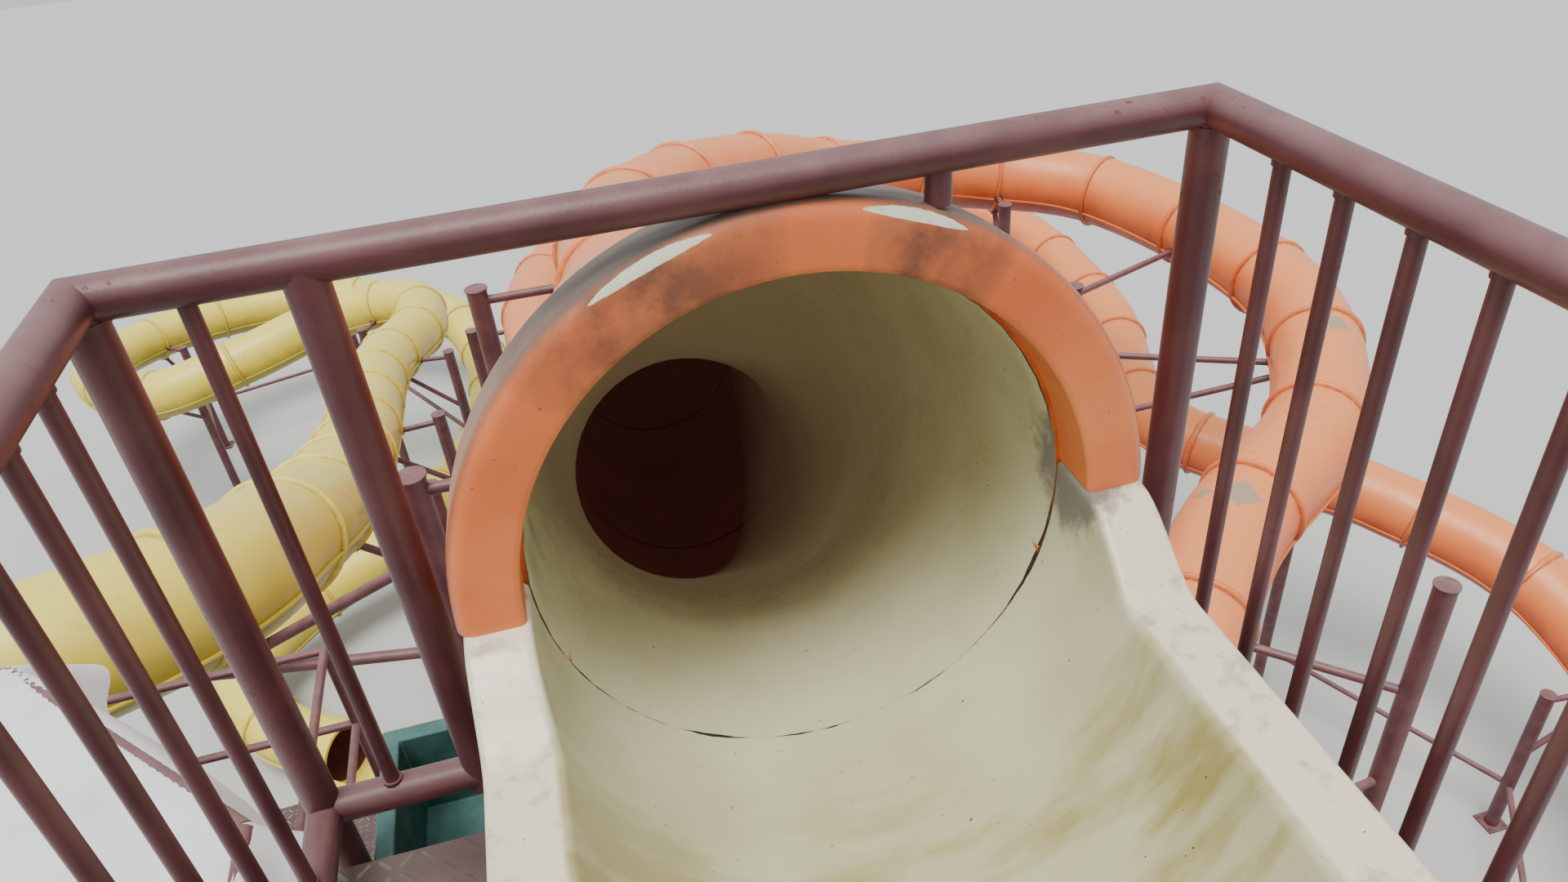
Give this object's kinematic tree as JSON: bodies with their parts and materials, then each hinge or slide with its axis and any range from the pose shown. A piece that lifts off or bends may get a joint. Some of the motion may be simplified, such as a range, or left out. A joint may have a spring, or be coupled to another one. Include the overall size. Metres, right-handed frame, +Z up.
{
  "type": "water slide tower",
  "caption": "Steel water slide tower: start deck with guard rails and stairs, an enclosed flume leaving through a round hood and coiling down, and a second flume from a covered lower deck.",
  "frame": {"origin": "middle of the footprint, at ground level", "axes": "+Z up, +Y the way riders leave the start deck, +X to a rider's right"},
  "size_m": [22.0862, 30.2586, 12.76],
  "materials": {
    "steel": "maroon paint, satin, rust at the welds",
    "plate": "chequer plate, worn paint",
    "orange": "orange gelcoat, sun-faded",
    "hood": "orange gelcoat, faded and chipped, grime along the crown",
    "yellow": "yellow gelcoat, sun-faded",
    "tub": "cream gelcoat, stained",
    "teal": "teal, matte",
    "tarp": "white coated tarpaulin"
  },
  "bodies": {
    "root": {"tower_front_frame": "steel", "tower_middle_frame": "steel", "tower_rear_frame": "steel", "tower_right_bracing": "steel", "tower_left_bracing": "steel", "stair_end_bracing": "steel", "deck_beams": "steel", "deck_plate": "plate", "top_landing": "plate", "landing_1": "plate", "landing_2": "plate", "lower_deck": "plate", "lower_deck_rear_frame": "steel", "lower_deck_front_frame": "steel", "lower_bay_frame": "steel", "stair_flight_1": "steel", "stair_flight_2": "steel", "stair_flight_3": "steel", "stair_flight_4": "steel", "stair_outer_rail_1": "steel", "stair_outer_rail_2": "steel", "stair_outer_rail_3": "steel", "stair_outer_rail_4": "steel", "stair_inner_rail": "steel", "left_guard_rail": "steel", "right_guard_rail": "steel", "front_guard_rail": "steel", "top_landing_rail": "steel", "lower_left_rail": "steel", "lower_front_rail": "steel", "lower_rear_rail": "steel", "entry_hood": "hood", "start_tub": "tub", "valve_box": "teal", "orange_entry_tube": "orange", "orange_tube_1": "orange", "orange_tube_2": "orange", "orange_tube_3": "orange", "orange_tube_4": "orange", "orange_tube_5": "orange", "orange_tube_6": "orange", "orange_run_out": "orange", "yellow_entry_tube": "yellow", "yellow_tube_1": "yellow", "yellow_tube_2": "yellow", "yellow_tube_3": "yellow", "yellow_tube_4": "yellow", "yellow_run_out": "yellow", "yellow_start_trough": "yellow", "flume_trestle_1": "steel", "flume_trestle_2": "steel", "flume_trestle_3": "steel", "flume_trestle_4": "steel", "flume_trestle_5": "steel", "flume_trestle_6": "steel", "flume_trestle_7": "steel", "flume_trestle_8": "steel", "flume_trestle_9": "steel", "canopy_frame": "steel", "canopy": "tarp"}
  },
  "joints": []
}
